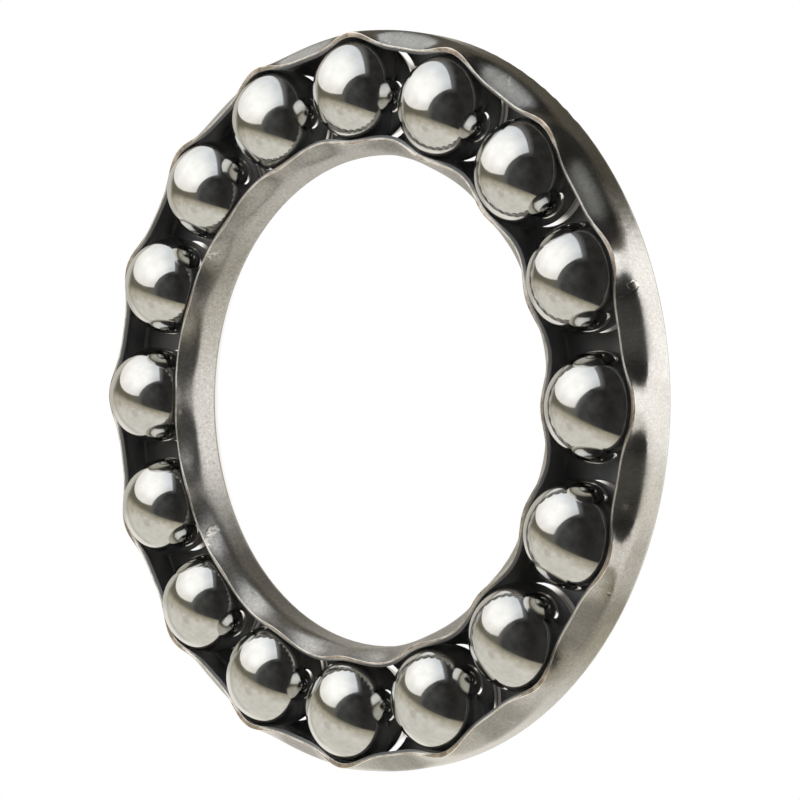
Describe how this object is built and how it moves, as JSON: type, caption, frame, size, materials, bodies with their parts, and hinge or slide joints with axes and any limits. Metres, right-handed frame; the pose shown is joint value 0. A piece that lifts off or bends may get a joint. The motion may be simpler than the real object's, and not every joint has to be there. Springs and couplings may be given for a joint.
{
  "type": "thrust ball bearing ball and cage assembly",
  "caption": "Ball and cage assembly of a thrust ball bearing: a pressed-steel ring channel with wavy crimped lips holds a full circle of polished balls that roll in their pockets.",
  "frame": {"origin": "on the bearing axis, in the plane of the ball centres, halfway between the two raceway contact planes", "axes": "+Z along the bearing axis, towards the open side of the cage with the wavy lips; +Y through the centre of ball_01"},
  "size_m": [0.0704, 0.0705, 0.01],
  "materials": {
    "cage_steel": "satin pressed sheet steel, lightly marked",
    "ball_steel": "mirror-polished hardened bearing steel"
  },
  "bodies": {
    "cage": {"cage": "cage_steel"},
    "ball_01": {"ball_01": "ball_steel"},
    "ball_02": {"ball_02": "ball_steel"},
    "ball_03": {"ball_03": "ball_steel"},
    "ball_04": {"ball_04": "ball_steel"},
    "ball_05": {"ball_05": "ball_steel"},
    "ball_06": {"ball_06": "ball_steel"},
    "ball_07": {"ball_07": "ball_steel"},
    "ball_08": {"ball_08": "ball_steel"},
    "ball_09": {"ball_09": "ball_steel"},
    "ball_10": {"ball_10": "ball_steel"},
    "ball_11": {"ball_11": "ball_steel"},
    "ball_12": {"ball_12": "ball_steel"},
    "ball_13": {"ball_13": "ball_steel"},
    "ball_14": {"ball_14": "ball_steel"},
    "ball_15": {"ball_15": "ball_steel"},
    "ball_16": {"ball_16": "ball_steel"}
  },
  "joints": [
    {"name": "ball_01_roll", "type": "hinge", "parent": "cage", "child": "ball_01", "pos_m": [0, 0.0295, 0], "axis": [0, 1, 0], "continuous": true},
    {"name": "ball_02_roll", "type": "hinge", "parent": "cage", "child": "ball_02", "pos_m": [0.01129, 0.02725, 0], "axis": [0.3827, 0.9239, 0], "continuous": true},
    {"name": "ball_03_roll", "type": "hinge", "parent": "cage", "child": "ball_03", "pos_m": [0.02086, 0.02086, 0], "axis": [0.7071, 0.7071, 0], "continuous": true},
    {"name": "ball_04_roll", "type": "hinge", "parent": "cage", "child": "ball_04", "pos_m": [0.02725, 0.01129, 0], "axis": [0.9239, 0.3827, 0], "continuous": true},
    {"name": "ball_05_roll", "type": "hinge", "parent": "cage", "child": "ball_05", "pos_m": [0.0295, 0, 0], "axis": [1, 0, 0], "continuous": true},
    {"name": "ball_06_roll", "type": "hinge", "parent": "cage", "child": "ball_06", "pos_m": [0.02725, -0.01129, 0], "axis": [0.9239, -0.3827, 0], "continuous": true},
    {"name": "ball_07_roll", "type": "hinge", "parent": "cage", "child": "ball_07", "pos_m": [0.02086, -0.02086, 0], "axis": [0.7071, -0.7071, 0], "continuous": true},
    {"name": "ball_08_roll", "type": "hinge", "parent": "cage", "child": "ball_08", "pos_m": [0.01129, -0.02725, 0], "axis": [0.3827, -0.9239, 0], "continuous": true},
    {"name": "ball_09_roll", "type": "hinge", "parent": "cage", "child": "ball_09", "pos_m": [0, -0.0295, 0], "axis": [0, -1, 0], "continuous": true},
    {"name": "ball_10_roll", "type": "hinge", "parent": "cage", "child": "ball_10", "pos_m": [-0.01129, -0.02725, 0], "axis": [-0.3827, -0.9239, 0], "continuous": true},
    {"name": "ball_11_roll", "type": "hinge", "parent": "cage", "child": "ball_11", "pos_m": [-0.02086, -0.02086, 0], "axis": [-0.7071, -0.7071, 0], "continuous": true},
    {"name": "ball_12_roll", "type": "hinge", "parent": "cage", "child": "ball_12", "pos_m": [-0.02725, -0.01129, 0], "axis": [-0.9239, -0.3827, 0], "continuous": true},
    {"name": "ball_13_roll", "type": "hinge", "parent": "cage", "child": "ball_13", "pos_m": [-0.0295, 0, 0], "axis": [-1, 0, 0], "continuous": true},
    {"name": "ball_14_roll", "type": "hinge", "parent": "cage", "child": "ball_14", "pos_m": [-0.02725, 0.01129, 0], "axis": [-0.9239, 0.3827, 0], "continuous": true},
    {"name": "ball_15_roll", "type": "hinge", "parent": "cage", "child": "ball_15", "pos_m": [-0.02086, 0.02086, 0], "axis": [-0.7071, 0.7071, 0], "continuous": true},
    {"name": "ball_16_roll", "type": "hinge", "parent": "cage", "child": "ball_16", "pos_m": [-0.01129, 0.02725, 0], "axis": [-0.3827, 0.9239, 0], "continuous": true}
  ]
}
